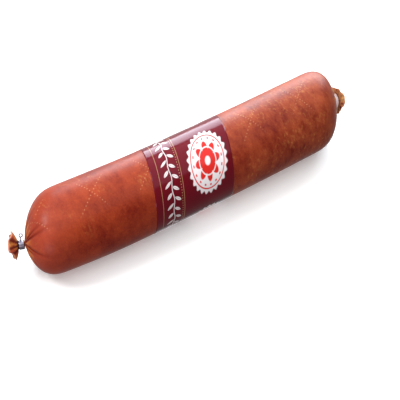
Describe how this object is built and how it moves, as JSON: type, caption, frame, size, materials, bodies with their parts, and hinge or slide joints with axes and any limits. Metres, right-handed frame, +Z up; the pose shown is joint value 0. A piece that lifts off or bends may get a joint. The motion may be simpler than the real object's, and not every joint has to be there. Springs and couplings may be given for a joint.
{
  "type": "cured sausage",
  "caption": "Thick smoked sausage in a smooth film casing, with a printed label sleeve round its middle, pleated ends, crimped metal clips and flared casing tails.",
  "frame": {"origin": "middle of the footprint, on the surface that the sausage rests on", "axes": "+X along the sausage towards its blunter end, +Z up"},
  "size_m": [0.3016, 0.0652, 0.0606],
  "materials": {
    "casing": "smooth red-brown casing film with fine golden flecks, satin gloss",
    "label_film": "wine-coloured glossy printed film",
    "clip_metal": "bright crimped strip"
  },
  "bodies": {
    "root": {"sausage": "casing", "label": "label_film", "clip_left": "clip_metal", "clip_right": "clip_metal"}
  },
  "joints": []
}
